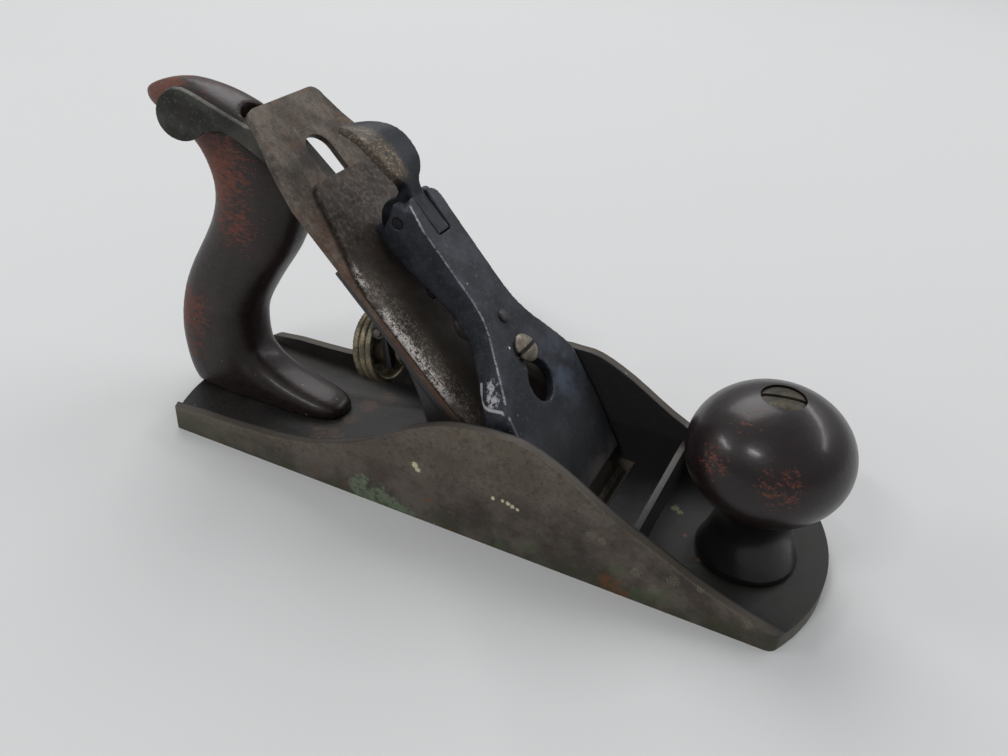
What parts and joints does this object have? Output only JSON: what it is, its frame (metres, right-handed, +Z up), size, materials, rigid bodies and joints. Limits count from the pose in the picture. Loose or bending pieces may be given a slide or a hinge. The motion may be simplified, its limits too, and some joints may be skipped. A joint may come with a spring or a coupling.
{
  "type": "smoothing plane",
  "caption": "Metal bench smoothing plane with arched cheeks, turned front knob, swept rear tote, slanted iron, lever cap, brass depth nut and lateral lever",
  "frame": {"origin": "centre of the sole's flat face, at the middle of the casting's length and width", "axes": "+X towards the toe, +Y to the left of the user, +Z up from the sole"},
  "size_m": [0.2424, 0.0612, 0.1194],
  "materials": {
    "casting": "bare aged casting outside, black japanning inside",
    "frog_black": "black japanning, worn",
    "screw_steel": "dull steel",
    "washer_steel": "dull steel",
    "stud_steel": "dull steel",
    "nut_brass": "tarnished brass",
    "yoke_iron": "dark casting",
    "pin_steel": "dull steel",
    "lever_steel": "dark patinated steel",
    "rivet_steel": "dull steel",
    "roller_steel": "dull steel",
    "cap_screw_steel": "dark steel",
    "blade_steel": "mottled steel with light rust",
    "cap_iron_steel": "mottled steel with bright wear",
    "cap_iron_screw_steel": "dull steel",
    "lever_cap_iron": "worn blue-black finish",
    "cam_steel": "worn dark plating",
    "cam_pin_steel": "dull steel",
    "spring_steel": "blued steel",
    "spring_rivet_steel": "dark steel",
    "knob_wood": "dark varnish, worn",
    "knob_bolt_steel": "dull steel",
    "knob_brass": "tarnished brass",
    "tote_wood": "dark varnish, worn",
    "tote_bolt_steel": "dull steel",
    "tote_brass": "tarnished brass"
  },
  "bodies": {
    "plane_body": {"body": "casting", "frog": "frog_black", "frog_screws": "screw_steel", "frog_washers": "washer_steel", "adjuster_stud": "stud_steel", "yoke_pin": "pin_steel", "lateral_pivot": "rivet_steel", "lever_cap_screw": "cap_screw_steel", "front_knob": "knob_wood", "knob_bolt": "knob_bolt_steel", "knob_nut": "knob_brass", "tote": "tote_wood", "tote_bolt": "tote_bolt_steel", "tote_nut": "tote_brass"},
    "cutter": {"cutting_iron": "blade_steel", "cap_iron": "cap_iron_steel", "cap_iron_screw": "cap_iron_screw_steel"},
    "yoke": {"yoke": "yoke_iron"},
    "depth_nut": {"depth_nut": "nut_brass"},
    "lateral_lever": {"lateral_lever": "lever_steel"},
    "lateral_roller": {"lateral_roller": "roller_steel"},
    "lever_cap": {"lever_cap": "lever_cap_iron", "cap_spring": "spring_steel", "spring_rivet": "spring_rivet_steel", "cam_pin": "cam_pin_steel"},
    "cam_lever": {"cam_lever": "cam_steel"}
  },
  "joints": [
    {"name": "cutter_feed", "type": "slide", "parent": "plane_body", "child": "cutter", "axis": [-0.7071, 0, 0.7071], "range_m": [-0.001, 0.0018]},
    {"name": "yoke_swing", "type": "hinge", "parent": "plane_body", "child": "yoke", "pos_m": [-0.03567, 0, 0.05035], "axis": [0, 1, 0], "range_deg": [-6, 3.5]},
    {"name": "depth_nut_turn", "type": "hinge", "parent": "plane_body", "child": "depth_nut", "pos_m": [-0.0437, 0, 0.0387], "axis": [0.9816, 0, 0.1908], "range_deg": [-310, 175]},
    {"name": "lateral_swing", "type": "hinge", "parent": "plane_body", "child": "lateral_lever", "pos_m": [-0.03688, 0, 0.07382], "axis": [0.7071, 0, 0.7071], "range_deg": [-2, 8]},
    {"name": "roller_turn", "type": "hinge", "parent": "lateral_lever", "child": "lateral_roller", "pos_m": [-0.03152, 0.00145, 0.07094], "axis": [0.7071, 0, 0.7071], "continuous": true},
    {"name": "lever_cap_slide", "type": "slide", "parent": "plane_body", "child": "lever_cap", "axis": [-0.7071, 0, 0.7071], "range_m": [0, 0.011]},
    {"name": "cam_release", "type": "hinge", "parent": "lever_cap", "child": "cam_lever", "pos_m": [-0.02882, 0, 0.08895], "axis": [0, 1, 0], "range_deg": [0, 70]}
  ],
  "couplings": [
    {"joint": "yoke_swing", "follows": "cutter_feed", "rad_per_m": -50.25},
    {"joint": "depth_nut_turn", "follows": "cutter_feed", "rad_per_m": -2954.5}
  ]
}
